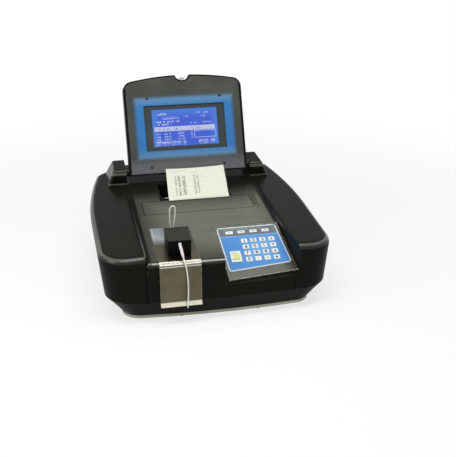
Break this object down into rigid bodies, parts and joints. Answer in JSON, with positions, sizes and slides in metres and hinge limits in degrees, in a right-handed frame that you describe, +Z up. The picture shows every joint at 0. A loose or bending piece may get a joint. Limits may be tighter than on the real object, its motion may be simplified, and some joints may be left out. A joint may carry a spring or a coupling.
{
  "type": "benchtop chemistry analyzer",
  "caption": "Benchtop chemistry analyzer: low black housing with raised shoulders, hinged display lid, strip printer, keypad, and a flow cell on a steel drip plate.",
  "frame": {"origin": "on the bench, under the middle of the housing", "axes": "+Z up, +Y from the keypad side to the rear panel, +X to the operator's right"},
  "size_m": [0.3548, 0.405, 0.2946],
  "materials": {
    "base_grey": "satin",
    "foot_rubber": "matte",
    "screw_steel": "zinc plated",
    "housing_black": "satin",
    "deck_black": "satin",
    "panel_grey": "satin",
    "inlet_black": "satin",
    "switch_black": "satin",
    "socket_steel": "plated",
    "fan_black": "satin",
    "board_green": "lacquered",
    "supply_aluminium": "satin",
    "optics_aluminium": "anodised",
    "lamp_glass": "clear",
    "motor_grey": "satin",
    "detector_black": "matte",
    "pump_grey": "satin",
    "pump_white": "satin",
    "drip_steel": "brushed",
    "cell_black": "black anodised",
    "tube_white": "satin",
    "sleeve_white": "satin",
    "keypad_aluminium": "satin",
    "overlay_blue": "satin",
    "key_white": "satin",
    "bezel_grey": "satin",
    "lid_black": "satin",
    "screen_glass": "clear over a blue display",
    "module_black": "gloss",
    "screw_black": "blackened",
    "hinge_black": "satin",
    "latch_black": "satin",
    "printer_black": "matte",
    "platen_rubber": "matte",
    "paper_white": "matte"
  },
  "bodies": {
    "housing": {"base_plate": "base_grey", "rubber_feet": "foot_rubber", "case_screws": "screw_steel", "lower_case": "housing_black", "top_cover": "housing_black", "rear_panel": "panel_grey", "power_inlet": "inlet_black", "data_sockets": "socket_steel", "fan_frame": "fan_black", "main_board": "board_green", "power_supply": "supply_aluminium", "optics_bench": "optics_aluminium", "halogen_lamp": "lamp_glass", "filter_motor": "motor_grey", "light_detector": "detector_black", "pump_head": "pump_grey", "drip_plate": "drip_steel", "keypad_plate": "keypad_aluminium", "keypad_overlay": "overlay_blue", "printer_frame": "printer_black"},
    "lid": {"lid_back": "lid_black", "lid_bezel": "bezel_grey", "lcd_module": "module_black", "lcd_window": "screen_glass", "lid_screws": "screw_black", "hinge_pins": "hinge_black", "lid_latch": "latch_black"},
    "deck_cover": {"deck_cover": "deck_black"},
    "flow_cell": {"flow_cell_block": "cell_black", "tube_sleeve": "sleeve_white", "aspiration_tube": "tube_white", "tubing_loop": "tube_white"},
    "rocker_switch": {"rocker_switch": "switch_black"},
    "fan_rotor": {"fan_rotor": "fan_black"},
    "filter_wheel": {"filter_wheel": "optics_aluminium"},
    "pump_rotor": {"pump_rotor": "pump_white"},
    "platen_roller": {"platen_roller": "platen_rubber"},
    "paper_roll": {"paper_roll": "paper_white"},
    "paper_sheet": {"paper_sheet": "paper_white"},
    "function_key_1": {"function_key_1": "key_white"},
    "function_key_2": {"function_key_2": "key_white"},
    "function_key_3": {"function_key_3": "key_white"},
    "function_key_4": {"function_key_4": "key_white"},
    "key_row1_col1": {"key_row1_col1": "key_white"},
    "key_row1_col2": {"key_row1_col2": "key_white"},
    "key_row1_col3": {"key_row1_col3": "key_white"},
    "key_row1_col4": {"key_row1_col4": "key_white"},
    "key_row2_col1": {"key_row2_col1": "key_white"},
    "key_row2_col2": {"key_row2_col2": "key_white"},
    "key_row2_col3": {"key_row2_col3": "key_white"},
    "key_row2_col4": {"key_row2_col4": "key_white"},
    "key_row3_col1": {"key_row3_col1": "key_white"},
    "key_row3_col2": {"key_row3_col2": "key_white"},
    "key_row3_col3": {"key_row3_col3": "key_white"},
    "key_row3_col4": {"key_row3_col4": "key_white"},
    "key_row4_col1": {"key_row4_col1": "key_white"},
    "key_row4_col2": {"key_row4_col2": "key_white"},
    "key_row4_col3": {"key_row4_col3": "key_white"},
    "key_row4_col4": {"key_row4_col4": "key_white"},
    "sample_key": {"sample_key": "key_white"}
  },
  "joints": [
    {"name": "lid_hinge", "type": "hinge", "parent": "housing", "child": "lid", "pos_m": [0, 0.1, 0.142], "axis": [-1, 0, 0], "range_deg": [-116.5, 8]},
    {"name": "paper_fold", "type": "hinge", "parent": "housing", "child": "paper_sheet", "pos_m": [0, 0.0147, 0.1214], "axis": [-1, 0, 0], "range_deg": [-1, 14.2]},
    {"name": "deck_cover_lift", "type": "slide", "parent": "housing", "child": "deck_cover", "axis": [0, -0.0958, 0.9954], "range_m": [0, 0.012]},
    {"name": "flow_cell_lift", "type": "slide", "parent": "housing", "child": "flow_cell", "axis": [0, -0.0958, 0.9954], "range_m": [0, 0.03]},
    {"name": "switch_rock", "type": "hinge", "parent": "housing", "child": "rocker_switch", "pos_m": [-0.052, 0.1966, 0.094], "axis": [1, 0, 0], "range_deg": [0, 16]},
    {"name": "fan_spin", "type": "hinge", "parent": "housing", "child": "fan_rotor", "pos_m": [0.048, 0.188, 0.078], "axis": [0, 1, 0], "continuous": true},
    {"name": "filter_wheel_spin", "type": "hinge", "parent": "housing", "child": "filter_wheel", "pos_m": [-0.0935, -0.073, 0.05], "axis": [1, 0, 0], "continuous": true},
    {"name": "pump_spin", "type": "hinge", "parent": "housing", "child": "pump_rotor", "pos_m": [-0.098, -0.142, 0.044], "axis": [0, 0, 1], "continuous": true},
    {"name": "paper_roll_spin", "type": "hinge", "parent": "housing", "child": "paper_roll", "pos_m": [0, 0.05437, 0.0919], "axis": [1, 0, 0], "continuous": true},
    {"name": "platen_spin", "type": "hinge", "parent": "housing", "child": "platen_roller", "pos_m": [0, 0.02321, 0.10949], "axis": [1, 0, 0], "continuous": true},
    {"name": "function_key_1_press", "type": "slide", "parent": "housing", "child": "function_key_1", "axis": [0, 0.4115, -0.9114], "range_m": [0, 0.0005], "stiffness_N_per_m": 400},
    {"name": "function_key_2_press", "type": "slide", "parent": "housing", "child": "function_key_2", "axis": [0, 0.4115, -0.9114], "range_m": [0, 0.0005], "stiffness_N_per_m": 400},
    {"name": "function_key_3_press", "type": "slide", "parent": "housing", "child": "function_key_3", "axis": [0, 0.4115, -0.9114], "range_m": [0, 0.0005], "stiffness_N_per_m": 400},
    {"name": "function_key_4_press", "type": "slide", "parent": "housing", "child": "function_key_4", "axis": [0, 0.4115, -0.9114], "range_m": [0, 0.0005], "stiffness_N_per_m": 400},
    {"name": "key_row1_col1_press", "type": "slide", "parent": "housing", "child": "key_row1_col1", "axis": [0, 0.4115, -0.9114], "range_m": [0, 0.0005], "stiffness_N_per_m": 400},
    {"name": "key_row1_col2_press", "type": "slide", "parent": "housing", "child": "key_row1_col2", "axis": [0, 0.4115, -0.9114], "range_m": [0, 0.0005], "stiffness_N_per_m": 400},
    {"name": "key_row1_col3_press", "type": "slide", "parent": "housing", "child": "key_row1_col3", "axis": [0, 0.4115, -0.9114], "range_m": [0, 0.0005], "stiffness_N_per_m": 400},
    {"name": "key_row1_col4_press", "type": "slide", "parent": "housing", "child": "key_row1_col4", "axis": [0, 0.4115, -0.9114], "range_m": [0, 0.0005], "stiffness_N_per_m": 400},
    {"name": "key_row2_col1_press", "type": "slide", "parent": "housing", "child": "key_row2_col1", "axis": [0, 0.4115, -0.9114], "range_m": [0, 0.0005], "stiffness_N_per_m": 400},
    {"name": "key_row2_col2_press", "type": "slide", "parent": "housing", "child": "key_row2_col2", "axis": [0, 0.4115, -0.9114], "range_m": [0, 0.0005], "stiffness_N_per_m": 400},
    {"name": "key_row2_col3_press", "type": "slide", "parent": "housing", "child": "key_row2_col3", "axis": [0, 0.4115, -0.9114], "range_m": [0, 0.0005], "stiffness_N_per_m": 400},
    {"name": "key_row2_col4_press", "type": "slide", "parent": "housing", "child": "key_row2_col4", "axis": [0, 0.4115, -0.9114], "range_m": [0, 0.0005], "stiffness_N_per_m": 400},
    {"name": "key_row3_col1_press", "type": "slide", "parent": "housing", "child": "key_row3_col1", "axis": [0, 0.4115, -0.9114], "range_m": [0, 0.0005], "stiffness_N_per_m": 400},
    {"name": "key_row3_col2_press", "type": "slide", "parent": "housing", "child": "key_row3_col2", "axis": [0, 0.4115, -0.9114], "range_m": [0, 0.0005], "stiffness_N_per_m": 400},
    {"name": "key_row3_col3_press", "type": "slide", "parent": "housing", "child": "key_row3_col3", "axis": [0, 0.4115, -0.9114], "range_m": [0, 0.0005], "stiffness_N_per_m": 400},
    {"name": "key_row3_col4_press", "type": "slide", "parent": "housing", "child": "key_row3_col4", "axis": [0, 0.4115, -0.9114], "range_m": [0, 0.0005], "stiffness_N_per_m": 400},
    {"name": "key_row4_col1_press", "type": "slide", "parent": "housing", "child": "key_row4_col1", "axis": [0, 0.4115, -0.9114], "range_m": [0, 0.0005], "stiffness_N_per_m": 400},
    {"name": "key_row4_col2_press", "type": "slide", "parent": "housing", "child": "key_row4_col2", "axis": [0, 0.4115, -0.9114], "range_m": [0, 0.0005], "stiffness_N_per_m": 400},
    {"name": "key_row4_col3_press", "type": "slide", "parent": "housing", "child": "key_row4_col3", "axis": [0, 0.4115, -0.9114], "range_m": [0, 0.0005], "stiffness_N_per_m": 400},
    {"name": "key_row4_col4_press", "type": "slide", "parent": "housing", "child": "key_row4_col4", "axis": [0, 0.4115, -0.9114], "range_m": [0, 0.0005], "stiffness_N_per_m": 400},
    {"name": "sample_key_press", "type": "slide", "parent": "housing", "child": "sample_key", "axis": [0, 0.4115, -0.9114], "range_m": [0, 0.0005], "stiffness_N_per_m": 400}
  ],
  "couplings": [
    {"joint": "paper_fold", "follows": "lid_hinge", "ratio": -0.12},
    {"joint": "platen_spin", "follows": "paper_roll_spin", "ratio": 2.3333}
  ]
}
